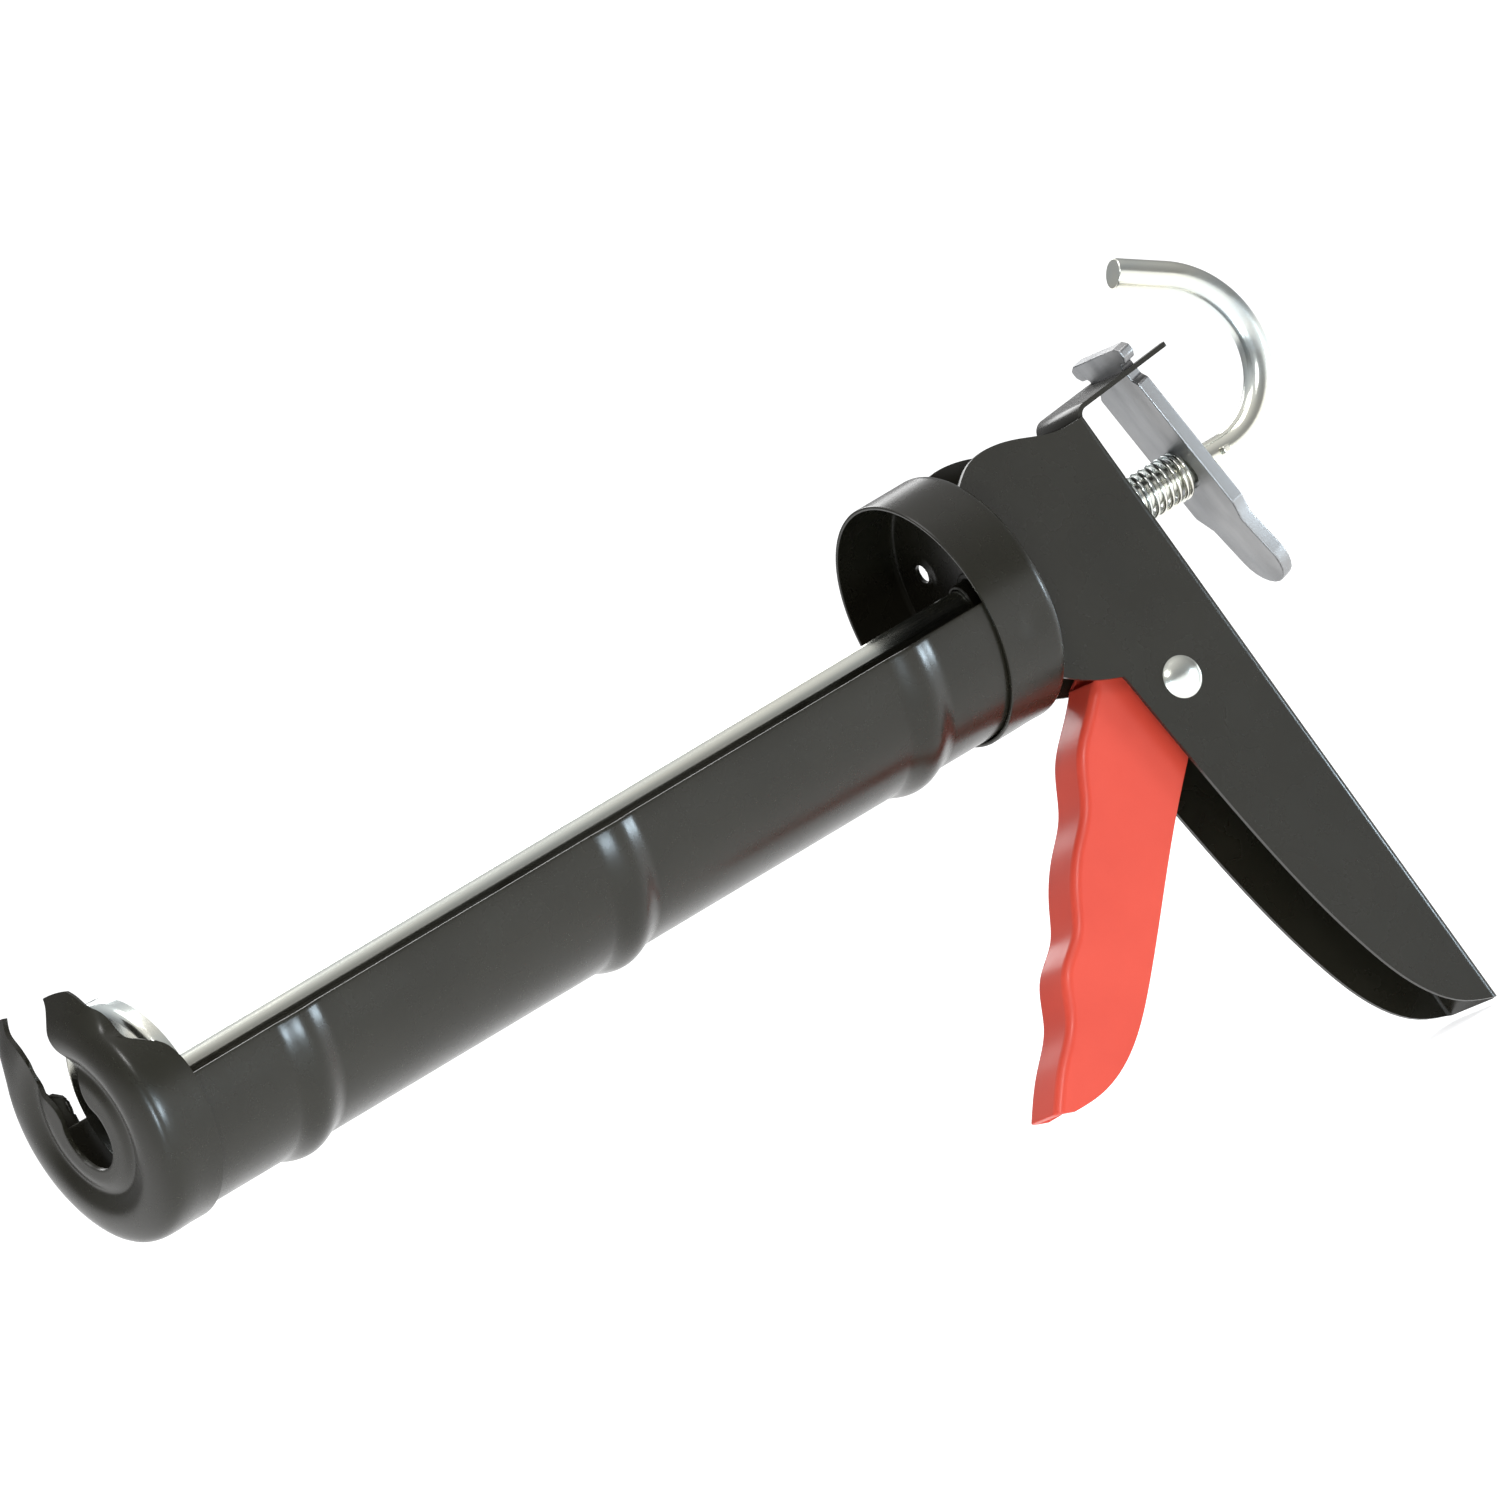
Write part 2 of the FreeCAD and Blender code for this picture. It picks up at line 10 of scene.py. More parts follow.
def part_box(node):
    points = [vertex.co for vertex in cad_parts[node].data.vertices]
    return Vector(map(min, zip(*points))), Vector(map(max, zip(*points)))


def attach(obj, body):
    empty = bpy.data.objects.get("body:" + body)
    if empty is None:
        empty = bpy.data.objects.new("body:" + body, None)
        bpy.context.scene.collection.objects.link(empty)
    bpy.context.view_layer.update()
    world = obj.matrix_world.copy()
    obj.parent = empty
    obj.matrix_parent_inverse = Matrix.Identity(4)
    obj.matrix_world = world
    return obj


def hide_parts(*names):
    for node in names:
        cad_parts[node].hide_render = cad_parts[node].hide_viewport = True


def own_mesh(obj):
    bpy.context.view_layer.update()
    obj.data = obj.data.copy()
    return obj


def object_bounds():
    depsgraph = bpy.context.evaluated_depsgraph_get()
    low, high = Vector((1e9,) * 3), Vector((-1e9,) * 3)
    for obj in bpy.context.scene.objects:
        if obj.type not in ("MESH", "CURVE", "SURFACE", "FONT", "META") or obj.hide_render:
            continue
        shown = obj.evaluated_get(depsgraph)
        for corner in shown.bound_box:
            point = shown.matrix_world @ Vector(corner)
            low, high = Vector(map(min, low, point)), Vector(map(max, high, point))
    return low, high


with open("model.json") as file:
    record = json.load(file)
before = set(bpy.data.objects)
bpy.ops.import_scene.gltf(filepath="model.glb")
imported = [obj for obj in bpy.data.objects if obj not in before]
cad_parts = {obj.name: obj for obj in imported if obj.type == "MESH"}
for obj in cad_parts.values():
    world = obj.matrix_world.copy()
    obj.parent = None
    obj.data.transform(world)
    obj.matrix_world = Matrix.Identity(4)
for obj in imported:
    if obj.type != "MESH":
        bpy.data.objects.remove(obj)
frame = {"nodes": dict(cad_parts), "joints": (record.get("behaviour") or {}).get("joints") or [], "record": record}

CAD_LOW, CAD_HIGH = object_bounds()
NODES = frame["nodes"]
JOINTS = {j["name"]: j for j in frame["joints"]}

# Lengths below are in millimetres in the frame's own axes: +X to the hook, +Z up, +Y to the far side plate.
MM = 0.001


def extent(node, axis):
    """A CAD node's lowest and highest value along an axis, in millimetres."""
    low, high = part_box(node)
    return low[axis] / MM, high[axis] / MM


# ---- sizes read from the frame ----
TROUGH_FRONT, TROUGH_REAR = extent("barrel_trough", 0)
CUP_FRONT, CUP_REAR = extent("rear_cup", 0)
CUP_RADIUS = extent("rear_cup", 1)[1]
CAP_REAR = extent("front_cap", 0)[1]
FRAME_FRONT = extent("handle_frame", 0)[0]
FRAME_HALF = extent("handle_frame", 1)[1]
TRIGGER_HALF = extent("trigger", 1)[1]
PISTON_FRONT, PISTON_REAR = extent("piston_disc", 0)
PISTON_RADIUS = extent("piston_disc", 1)[1]
BACKER_FRONT, BACKER_REAR = extent("piston_backer", 0)
ROD_FRONT = extent("push_rod", 0)[0]
RETURN_FRONT, RETURN_REAR = extent("return_spring", 0)
RELEASE_FRONT, RELEASE_REAR = extent("release_spring", 0)
PIVOT = [v / MM for v in JOINTS["trigger_squeeze"]["pos_m"]]
ROD_RADIUS = frame["record"]["mounts"][2]["dims"]["r_mm"]

# ---- sizes of the sheet work ----
BARREL_RADIUS = 25.9
BARREL_SHEET = 0.85
RIB_CENTRES = (41.3, 124.0, 201.9)
RIB_HALF_WIDTH = 6.2
RIB_HEIGHT = 1.65
CAP_RADIUS = 27.0
CAP_SHEET = 1.05
CAP_ROLL = math.radians(-1.5)
FLARE_START = 122.0
FLARE_SPAN = 25.0
FLARE_STEPS = 20
SLOT_RADIUS = 8.1
SLOT_DROP = 1.3
CUP_SHEET = 0.8
CUP_CORNER = 1.7
CUP_WELD_X = 230.6
CUP_WELD_ANGLES = (199.0, 341.0, 270.0)
CUP_WELD_RADIUS = 4.2
CUP_WELD_DEPTH = 0.34
CUP_HOLE = (14.8, 8.4)
CUP_HOLE_RADIUS = 2.0
FRAME_SHEET = 1.0
SPINE_TOP = (272.0, 20.8)
SPINE_END = (290.7, -122.4)
SPINE_HOLE_RADIUS = 3.9
SPINE_NOTCH = ((266.0, 276.0), (-9.6, 9.6), (15.8, 30.0))
TRIGGER_SHEET = 1.2
PLATE_SHEET = 3.0
BEND_START = 301.7
HOOK_ARCS = ((18.0, 95.0), (21.0, 55.0))
HOOK_TIP = 11.6
ROD_PLAY = 0.1
WASHER_BORE = 4.1
RIVET_HEAD = (4.4, 1.7)
PIN_RADIUS = 2.5
CORNER_STEPS = 4
FLOOR_GAP = 1.0

# ---- the camera ----
VIEW_RIGHT = (0.755, -0.441, -0.485)
VIEW_BACK = (-0.4767, -0.877, 0.056)
VIEW_WIDTH = 0.3
AIM_OFFSET = (0.0124, 0.0357)
LENS = 1500
SENSOR = 36


# ---- curves ----
def spline(points, step):
    """A smooth curve through the points, as a list of points about a step apart."""
    pts = np.array(points, float)
    t = np.concatenate([[0], np.cumsum(np.linalg.norm(np.diff(pts, axis=0), axis=1))])
    n = len(pts)
    h = np.diff(t)
    matrix = np.zeros((n, n))
    right = np.zeros((n, pts.shape[1]))
    matrix[0, 0] = matrix[-1, -1] = 1.0
    for i in range(1, n - 1):
        matrix[i, i - 1 : i + 2] = h[i - 1], 2 * (h[i - 1] + h[i]), h[i]
        right[i] = 6 * ((pts[i + 1] - pts[i]) / h[i] - (pts[i] - pts[i - 1]) / h[i - 1])
    bend = np.linalg.solve(matrix, right)
    out = []
    for i in range(n - 1):
        count = max(1, round(h[i] / step))
        for k in range(count):
            b = k / count * h[i]
            a = h[i] - b
            out.append(
                (bend[i] * a**3 + bend[i + 1] * b**3) / (6 * h[i])
                + (pts[i] / h[i] - bend[i] * h[i] / 6) * a
                + (pts[i + 1] / h[i] - bend[i + 1] * h[i] / 6) * b
            )
    out.append(pts[-1])
    return [tuple(p) for p in out]


def straight(a, b, step):
    """Points from a towards b, without b."""
    count = max(1, round(math.dist(a, b) / step))
    return [tuple(a[k] + (b[k] - a[k]) * i / count for k in range(len(a))) for i in range(count)]


def rounded(points, radius, closed=True):
    """A polygon in a plane with its corners rounded."""
    out = []
    n = len(points)
    for i, p in enumerate(points):
        if not closed and i in (0, n - 1):
            out.append(tuple(p))
            continue
        a, b, c = (Vector(points[(i + k) % n]) for k in (-1, 0, 1))
        u, w = (a - b), (c - b)
        half = u.angle(w) / 2
        size = min(radius, 0.49 * min(u.length, w.length) * math.tan(half))
        reach = size / math.tan(half)
        u.normalize()
        w.normalize()
        centre = b + (u + w).normalized() * (size / math.sin(half))
        start = b + u * reach - centre
        end = b + w * reach - centre
        for k in range(CORNER_STEPS + 1):
            share = k / CORNER_STEPS
            out.append(tuple(centre + (start * (1 - share) + end * share).normalized() * size))
    return out


# ---- meshes ----
def new_object(name, mesh):
    obj = bpy.data.objects.new(name, mesh)
    bpy.context.scene.collection.objects.link(obj)
    return obj


def from_data(name, verts, faces):
    mesh = bpy.data.meshes.new(name)
    mesh.from_pydata([tuple(c * MM for c in v) for v in verts], [], faces)
    mesh.validate()
    mesh.update()
    obj = new_object(name, mesh)
    fix_normals(obj)
    return obj


def fix_normals(obj):
    bm = bmesh.new()
    bm.from_mesh(obj.data)
    bmesh.ops.remove_doubles(bm, verts=bm.verts, dist=1e-7)
    bmesh.ops.recalc_face_normals(bm, faces=bm.faces)
    bm.to_mesh(obj.data)
    bm.free()


def grid(name, rows, wrap=False):
    """A surface over rows of points. wrap joins the last row to the first."""
    width = len(rows[0])
    verts = [p for row in rows for p in row]
    faces = []
    count = len(rows)
    for i in range(count if wrap else count - 1):
        a, b = i * width, (i + 1) % count * width
        for k in range(width - 1):
            faces.append((a + k, a + k + 1, b + k + 1, b + k))
    return from_data(name, verts, faces)


def apply_modifiers(obj):
    bpy.context.view_layer.update()
    graph = bpy.context.evaluated_depsgraph_get()
    mesh = bpy.data.meshes.new_from_object(obj.evaluated_get(graph))
    obj.modifiers.clear()
    obj.data = mesh
    return obj


def solidify(obj, thickness, offset=0.0, even=True):
    m = obj.modifiers.new("sheet", "SOLIDIFY")
    m.thickness = thickness * MM
    m.offset = offset
    m.use_even_offset = even
    m.use_quality_normals = True
    return apply_modifiers(obj)


def ease_edges(obj, width, angle=50.0, segments=2):
    """Rounds the sharp edges a little, as a deburred sheet edge is."""
    m = obj.modifiers.new("edges", "BEVEL")
    m.width = width * MM
    m.segments = segments
    m.limit_method = "ANGLE"
    m.angle_limit = math.radians(angle)
    m.use_clamp_overlap = True
    return apply_modifiers(obj)


def is_fold(edge):
    """True for an edge along a side plate that meets a wall at about a right angle."""
    if len(edge.link_faces) != 2:
        return False
    a, b = edge.verts
    first, second = edge.link_faces
    return abs(a.co.y - b.co.y) < 1e-6 and abs(first.normal.dot(second.normal)) < 0.3


def fold(obj, radius, segments=6):
    """Rounds the edges where a side plate turns into a wall."""
    bm = bmesh.new()
    bm.from_mesh(obj.data)
    edges = [e for e in bm.edges if is_fold(e)]
    bmesh.ops.bevel(
        bm,
        geom=edges,
        offset=radius * MM,
        offset_type="OFFSET",
        segments=segments,
        profile=0.5,
        affect="EDGES",
    )
    bm.to_mesh(obj.data)
    bm.free()
    return obj


def cut(obj, *cutters):
    for cutter in cutters:
        m = obj.modifiers.new("cut", "BOOLEAN")
        m.operation = "DIFFERENCE"
        m.solver = "EXACT"
        m.object = cutter
        apply_modifiers(obj)
        bpy.data.objects.remove(cutter)
    return obj


def join(obj, *others):
    """Adds the other objects' meshes to obj."""
    bm = bmesh.new()
    bm.from_mesh(obj.data)
    for other in others:
        bm.from_mesh(other.data)
        bpy.data.objects.remove(other)
    bm.to_mesh(obj.data)
    bm.free()
    return obj


def smooth(obj, angle=35.0):
    for p in obj.data.polygons:
        p.use_smooth = True
    obj.data.set_sharp_from_angle(angle=math.radians(angle))
    m = obj.modifiers.new("normals", "WEIGHTED_NORMAL")
    m.keep_sharp = True
    m.weight = 60
    return apply_modifiers(obj)


def revolve(name, profile, segments=96, centre=(0.0, 0.0), along="x", closed=True):
    """Turns (along, radius) points about the rod's axis, or about a cross axis through centre."""
    rows = []
    for i in range(segments):
        a = 2 * math.pi * i / segments
        row = []
        for x, r in profile + ([profile[0]] if closed else []):
            if along == "x":
                row.append((x, r * math.cos(a), r * math.sin(a)))
            else:
                row.append((centre[0] + r * math.cos(a), x, centre[1] + r * math.sin(a)))
        rows.append(row)
    return grid(name, rows, wrap=True)


def ring(name, front, rear, inner, outer, ease, **more):
    corners = [(front, inner), (front, outer), (rear, outer), (rear, inner)]
    return revolve(name, rounded(corners, ease), **more)


def sweep(name, path, radius, sides=32):
    """A round bar along a path, with its two ends closed."""
    points = [Vector(p) for p in path]
    tangents = []
    for i in range(len(points)):
        before, after = points[max(i - 1, 0)], points[min(i + 1, len(points) - 1)]
        tangents.append((after - before).normalized())
    side = tangents[0].orthogonal().normalized()
    rows = []
    for p, t in zip(points, tangents):
        side = (side - t * side.dot(t)).normalized()
        rows.append((p, side, t.cross(side)))
    verts = []
    for p, across, up in rows:
        for k in range(sides):
            a = 2 * math.pi * k / sides
            verts.append(tuple(p + across * (radius * math.cos(a)) + up * (radius * math.sin(a))))
    faces = []
    for i in range(len(rows) - 1):
        for k in range(sides):
            k2 = (k + 1) % sides
            faces.append((i * sides + k, i * sides + k2, (i + 1) * sides + k2, (i + 1) * sides + k))
    faces.append(tuple(range(sides))[::-1])
    faces.append(tuple((len(rows) - 1) * sides + k for k in range(sides)))
    return from_data(name, verts, faces)


# ---- materials ----
def material(name):
    mat = bpy.data.materials.new(name)
    mat.use_nodes = True
    nodes = mat.node_tree.nodes
    shader = next(n for n in nodes if n.type == "BSDF_PRINCIPLED")
    return mat, mat.node_tree, shader


def noise(tree, scale, detail=3.0, stretch=(1.0, 1.0, 1.0), roughness=0.5):
    """Noise over the object's own space. scale is in cycles per metre."""
    coords = tree.nodes.new("ShaderNodeTexCoord")
    mapping = tree.nodes.new("ShaderNodeMapping")
    mapping.inputs["Scale"].default_value = stretch
    tex = tree.nodes.new("ShaderNodeTexNoise")
    tex.inputs["Scale"].default_value = scale
    tex.inputs["Detail"].default_value = detail
    tex.inputs["Roughness"].default_value = roughness
    tree.links.new(coords.outputs["Object"], mapping.inputs["Vector"])
    tree.links.new(mapping.outputs["Vector"], tex.inputs["Vector"])
    return tex.outputs["Fac"]


def ramp(tree, source, stops):
    node = tree.nodes.new("ShaderNodeValToRGB")
    elements = node.color_ramp.elements
    while len(elements) < len(stops):
        elements.new(0.5)
    for element, (position, colour) in zip(elements, stops):
        element.position = position
        element.color = (*colour, 1.0)
    tree.links.new(source, node.inputs["Fac"])
    return node.outputs["Color"]


def scaled(tree, source, low, high):
    node = tree.nodes.new("ShaderNodeMapRange")
    node.inputs["From Min"].default_value = 0.3
    node.inputs["From Max"].default_value = 0.7
    node.inputs["To Min"].default_value = low
    node.inputs["To Max"].default_value = high
    tree.links.new(source, node.inputs["Value"])
    return node.outputs["Result"]


def bumped(tree, shader, layers):
    """Adds layers of relief. Each is (height source, depth in metres, strength)."""
    normal = None
    for source, depth, strength in layers:
        node = tree.nodes.new("ShaderNodeBump")
        node.inputs["Distance"].default_value = depth
        node.inputs["Strength"].default_value = strength
        tree.links.new(source, node.inputs["Height"])
        if normal:
            tree.links.new(normal, node.inputs["Normal"])
        normal = node.outputs["Normal"]
    tree.links.new(normal, shader.inputs["Normal"])


def paint(name, dark, light, gloss, peel):
    """Baked paint on sheet steel: a slightly uneven colour and gloss, and a faint waviness."""
    mat, tree, shader = material(name)
    base = ramp(tree, noise(tree, 45.0, 4.0), [(0.35, dark), (0.65, light)])
    tree.links.new(base, shader.inputs["Base Color"])
    tree.links.new(scaled(tree, noise(tree, 160.0, 5.0), *gloss), shader.inputs["Roughness"])
    shader.inputs["Specular IOR Level"].default_value = 0.36
    bumped(tree, shader, [(noise(tree, 420.0, 2.0), 0.000004, peel)])
    return mat


def metal(name, cool, warm, gloss, streak, depth, grain=2600.0):
    """Plated steel: cool and yellowish tints, drawing or rolling marks along the streak, uneven gloss."""
    mat, tree, shader = material(name)
    base = ramp(tree, noise(tree, 70.0, 4.0, streak), [(0.38, cool), (0.62, warm)])
    tree.links.new(base, shader.inputs["Base Color"])
    shader.inputs["Metallic"].default_value = 1.0
    marks = noise(tree, grain, 3.0, streak, 0.6)
    tree.links.new(scaled(tree, noise(tree, 300.0, 5.0, streak), *gloss), shader.inputs["Roughness"])
    dents = noise(tree, 420.0, 3.0)
    bumped(tree, shader, [(marks, 0.00001, depth), (dents, 0.00003, depth * 0.6)])
    return mat


ALONG_ROD = (0.06, 1.0, 1.0)
ALONG_PLATE = (1.0, 1.0, 0.15)
EVEN = (1.0, 1.0, 1.0)


def make_materials():
    return {
        "black_paint": paint(
            "black_paint", (0.0110, 0.0098, 0.0062), (0.0140, 0.0126, 0.0084), (0.24, 0.30), 0.3
        ),
        "red_paint": paint(
            "red_paint", (0.54, 0.052, 0.030), (0.59, 0.062, 0.036), (0.28, 0.36), 0.2
        ),
        "zinc_plate": metal(
            "zinc_plate", (0.66, 0.71, 0.70), (0.76, 0.75, 0.66), (0.15, 0.25), ALONG_ROD, 0.35
        ),
        "hardened_steel": metal(
            "hardened_steel", (0.25, 0.255, 0.262), (0.31, 0.31, 0.312), (0.38, 0.5), ALONG_PLATE, 0.5,
            grain=1400.0
        ),
        "spring_steel": metal(
            "spring_steel", (0.62, 0.67, 0.67), (0.72, 0.71, 0.64), (0.12, 0.22), EVEN, 0.2
        ),
    }


MATERIALS = make_materials()


def place(obj, body, slot, *nodes):
    """Finishes a piece: its material, the body it rides on and the CAD nodes it stands for."""
    obj.data.materials.clear()
    obj.data.materials.append(MATERIALS[slot])
    if nodes:
        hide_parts(*nodes)
    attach(obj, body)
    return obj


# ---- barrel ----
def rib_rise(x):
    for centre in RIB_CENTRES:
        away = abs(x - centre) / RIB_HALF_WIDTH
        if away < 1:
            return RIB_HEIGHT * (1 + math.cos(math.pi * away)) / 2
    return 0.0


def make_trough():
    middle = BARREL_RADIUS - BARREL_SHEET / 2
    stations = []
    last = TROUGH_FRONT
    for centre in RIB_CENTRES:
        start, end = centre - RIB_HALF_WIDTH, centre + RIB_HALF_WIDTH
        stations += [p[0] for p in straight((last, 0), (start, 0), 6.0)]
        stations += [p[0] for p in straight((start, 0), (end, 0), 0.45)]
        last = end
    stations += [p[0] for p in straight((last, 0), (TROUGH_REAR, 0), 6.0)] + [TROUGH_REAR]
    turns = 96
    rows = []
    for i in range(turns + 1):
        a = math.pi * i / turns
        row = []
        for x in stations:
            r = middle + rib_rise(x)
            row.append((x, -r * math.cos(a), -r * math.sin(a)))
        rows.append(row)
    obj = grid("barrel_trough_sheet", rows)
    solidify(obj, BARREL_SHEET)
    ease_edges(obj, 0.2, 60.0)
    smooth(obj)
    place(obj, "barrel", "black_paint", "barrel_trough")


def make_cap():
    """The front cap as one pressed sheet, in strips from the slot's edge out to the skirt's edge.

    Its section is a tight corner below, and opens out into two ears beside the slot. Section points are
    (x, radius), and the sheet's outer face runs through them.
    """
    half = CAP_SHEET / 2
    face = [(0.4, 0.0), (0.4, 6.0), (0.4, 11.0), (0.6, 13.0), (1.15, 14.9), (0.5, 16.8), (0, 18.8)]
    tight = [(0.35, 22.6), (1.15, 24.9), (2.3, 26.35), (4.4, CAP_RADIUS)]
    flared = [(0.2, 22.6), (0.8, 25.4), (1.9, 28.2), (4.7, 33.2)]

    def section(flare):
        corner = [tuple(a + (b - a) * flare for a, b in zip(p, q)) for p, q in zip(tight, flared)]
        end = corner[-1][1]
        points = spline(face + corner + [(9.0, end), (CAP_REAR, end)], 0.25)
        moved = []
        for i, p in enumerate(points):
            before, after = points[max(i - 1, 0)], points[min(i + 1, len(points) - 1)]
            slope = Vector((after[0] - before[0], after[1] - before[1])).normalized()
            moved.append((p[0] + slope[1] * half, p[1] - slope[0] * half))
        lengths = [0.0]
        for a, b in zip(moved, moved[1:]):
            lengths.append(lengths[-1] + math.dist(a, b))
        return np.array(moved), np.array(lengths)

    sections = [section(f / FLARE_STEPS) for f in range(FLARE_STEPS + 1)]

    def on_cap(theta, s):
        """A point at an angle from the bottom, and a length along the section from the middle."""
        flare = min(max((math.degrees(abs(theta)) - FLARE_START) / FLARE_SPAN, 0.0), 1.0)
        flare = flare * flare * (3 - 2 * flare) * FLARE_STEPS
        index = math.floor(flare)
        share = flare - index
        x, r = 0.0, 0.0
        for (points, lengths), part in (
            (sections[index], 1 - share),
            (sections[min(index + 1, FLARE_STEPS)], share),
        ):
            x += float(np.interp(s, lengths, points[:, 0])) * part
            r += float(np.interp(s, lengths, points[:, 1])) * part
        return (x, r * math.sin(theta), -r * math.cos(theta))

    tight_points, tight_lengths = sections[0]
    corner_length = float(np.interp(CAP_RADIUS - half - 0.05, tight_points[:, 1], tight_lengths))
    corner_x = float(np.interp(corner_length, tight_lengths, tight_points[:, 0]))

    def inner_point(y, z):
        return (math.atan2(y, -z), math.hypot(y, z))

    def outer_point(degrees, x):
        return (math.radians(degrees), corner_length + x - corner_x)

    def lip_point(degrees, radius):
        points, lengths = sections[-1]
        return (math.radians(degrees), float(np.interp(radius, points[:, 1], lengths)))

    slot = []
    for a in [math.radians(d) for d in (0, 22, 45, 68, 90, 110, 123)]:
        slot.append(inner_point(SLOT_RADIUS * math.sin(a), -SLOT_DROP - SLOT_RADIUS * math.cos(a)))
    throat = ((6.8, 6.1), (7.8, 8.2), (8.9, 10.6), (9.0, 12.5), (8.3, 14.5), (7.3, 16.2), (6.9, 18.0))
    throat += ((7.3, 20.2), (8.7, 22.3), (9.7, 24.2), (9.9, 25.6), (9.7, 27.0))
    slot += [inner_point(y, z) for y, z in throat]

    def rim_pairs(ears):
        """Slot and rim points side by side, from the bottom up to the tip of one ear."""
        rim = [outer_point(d, CAP_REAR) for d in (0, 16, 34, 51, 65, 77)]
        rim += [outer_point(d, x) for d, x in ears + ((118.5, 5.9), (124.5, 6.0), (131, 6.5))]
        rim += [lip_point(d, r) for d, r in ((136.5, 30.0), (140.5, 30.5), (143.5, 30.8), (146.5, 30.9))]
        mean = CAP_RADIUS / 2
        pairs = [(a[0] * mean, a[1], b[0] * CAP_RADIUS, b[1]) for a, b in zip(slot, rim)]
        return [(a / mean, b, c / CAP_RADIUS, d) for a, b, c, d in spline(pairs, 0.9)]

    near = rim_pairs(((86, 13.9), (96, 13.6), (102, 12.9), (107, 11.6), (110.5, 9.2), (114, 6.9)))
    far = rim_pairs(((86, 14.6), (94, 15.2), (100, 15.2), (104.5, 13.0), (108, 9.6), (113, 7.2)))
    across = 44
    rows = []
    mirrored = [(-p[0], p[1], -p[2], p[3]) for p in near[:0:-1]]
    for theta_in, s_in, theta_out, s_out in mirrored + far:
        row = []
        for k in range(across + 1):
            share = k / across
            row.append(on_cap(theta_in + (theta_out - theta_in) * share, s_in + (s_out - s_in) * share))
        rows.append(row)
    obj = grid("front_cap_sheet", rows)
    obj.data.transform(Matrix.Rotation(CAP_ROLL, 4, "X"))
    solidify(obj, CAP_SHEET, even=False)
    ease_edges(obj, 0.4, 60.0, 3)
    smooth(obj)
    place(obj, "barrel", "black_paint", "front_cap")


def make_cup():
    """The rear cup: a ring with weld dimples, a rounded corner and a web with one small hole."""
    half = CUP_SHEET / 2
    radius = CUP_RADIUS - half
    web = CUP_REAR - half
    corner = CUP_CORNER
    profile = straight((CUP_FRONT, radius), (web - corner, radius), 0.5)
    for k in range(7):
        a = math.pi / 2 * k / 6
        profile.append((web - corner + corner * math.sin(a), radius - corner + corner * math.cos(a)))
    profile += straight((web, radius - corner), (web, 4.2), 0.6)[1:] + [(web, 4.2)]
    spot = Vector(CUP_HOLE)
    turns = 300
    rows = []
    for i in range(turns):
        a = 2 * math.pi * i / turns
        row = []
        for x, r in profile:
            push = 0.0
            for weld in CUP_WELD_ANGLES:
                turn = (a - math.radians(weld) + math.pi) % (2 * math.pi) - math.pi
                away = math.hypot(x - CUP_WELD_X, radius * turn) / CUP_WELD_RADIUS
                if away < 1 and x < web - corner:
                    push -= CUP_WELD_DEPTH * (1 - away * away) ** 2
            y, z = (r + push) * math.cos(a), (r + push) * math.sin(a)
            near = (Vector((y, z)) - spot).length
            lift = 0.55 * max(0.0, 1 - abs(near - 2.2) / 1.4) if x > web - 0.01 else 0.0
            row.append((x - lift, y, z))
        rows.append(row)
    obj = grid("rear_cup_sheet", rows, wrap=True)
    solidify(obj, CUP_SHEET)
    ease_edges(obj, 0.2, 60.0)
    plug = sweep("plug", [(web - 5, *spot), (web + 5, *spot)], CUP_HOLE_RADIUS, 40)
    cut(obj, plug)
    smooth(obj)
    place(obj, "barrel", "black_paint", "rear_cup")


# ---- handle ----
def make_frame():
    """The folded handle: two side plates and a spine, drawn as the sheet's middle and then thickened."""
    lean = math.atan2(SPINE_END[0] - SPINE_TOP[0], SPINE_TOP[1] - SPINE_END[1])
    inset = FRAME_SHEET / 2 / math.cos(lean)
    top_corner = (SPINE_TOP[0] - inset, SPINE_TOP[1])
    end_corner = (SPINE_END[0] - inset, SPINE_END[1] + 0.2)
    top = [(FRAME_FRONT, 21.0), (242.7, 24.0), (248.0, 25.0), (255.7, 23.6), (264.5, 20.9), top_corner]
    top = spline(top, 1.0)
    grip = [end_corner, (283.2, -119.6), (275.7, -112.4), (269.6, -100.6), (261.1, -74.3)]
    grip = spline(grip + [(254.8, -47.3), (251.1, -29.6)], 2.0)
    throat = spline([(250.7, -28.4), (246.1, -26.7), (242.0, -24.6), (FRAME_FRONT, -22.3)], 1.5)
    rear = straight(top_corner, end_corner, 8.0)
    outline = top[:-1] + rear + grip + throat
    half = FRAME_HALF - FRAME_SHEET / 2
    count = len(outline)
    verts = [(x, -half, z) for x, z in outline] + [(x, half, z) for x, z in outline]
    first = len(top) - 1
    last = first + len(rear)
    spine = [(i, i + 1, count + i + 1, count + i) for i in range(first, last)]
    faces = [tuple(range(count)), tuple(count + i for i in range(count))[::-1]] + spine
    obj = from_data("handle_frame_sheet", verts, faces)

    fold(obj, 1.3)
    fix_normals(obj)
    solidify(obj, FRAME_SHEET)
    hole = sweep("hole", [(265, 0, 0), (285, 0, 0)], SPINE_HOLE_RADIUS, 48)
    ends, (left, right), (bottom, high) = SPINE_NOTCH
    corners = [(left, bottom), (right, bottom), (right, high), (left, high)]
    verts = [(x, y, z) for x in ends for y, z in corners]
    sides = [(i, (i + 1) % 4, 4 + (i + 1) % 4, 4 + i) for i in range(4)]
    notch = from_data("notch", verts, [(0, 1, 2, 3), (4, 5, 6, 7)] + sides)
    cut(obj, hole, notch)
    ease_edges(obj, 0.16, 50.0)
    smooth(obj, 30)
    place(obj, "frame", "black_paint", "handle_frame")


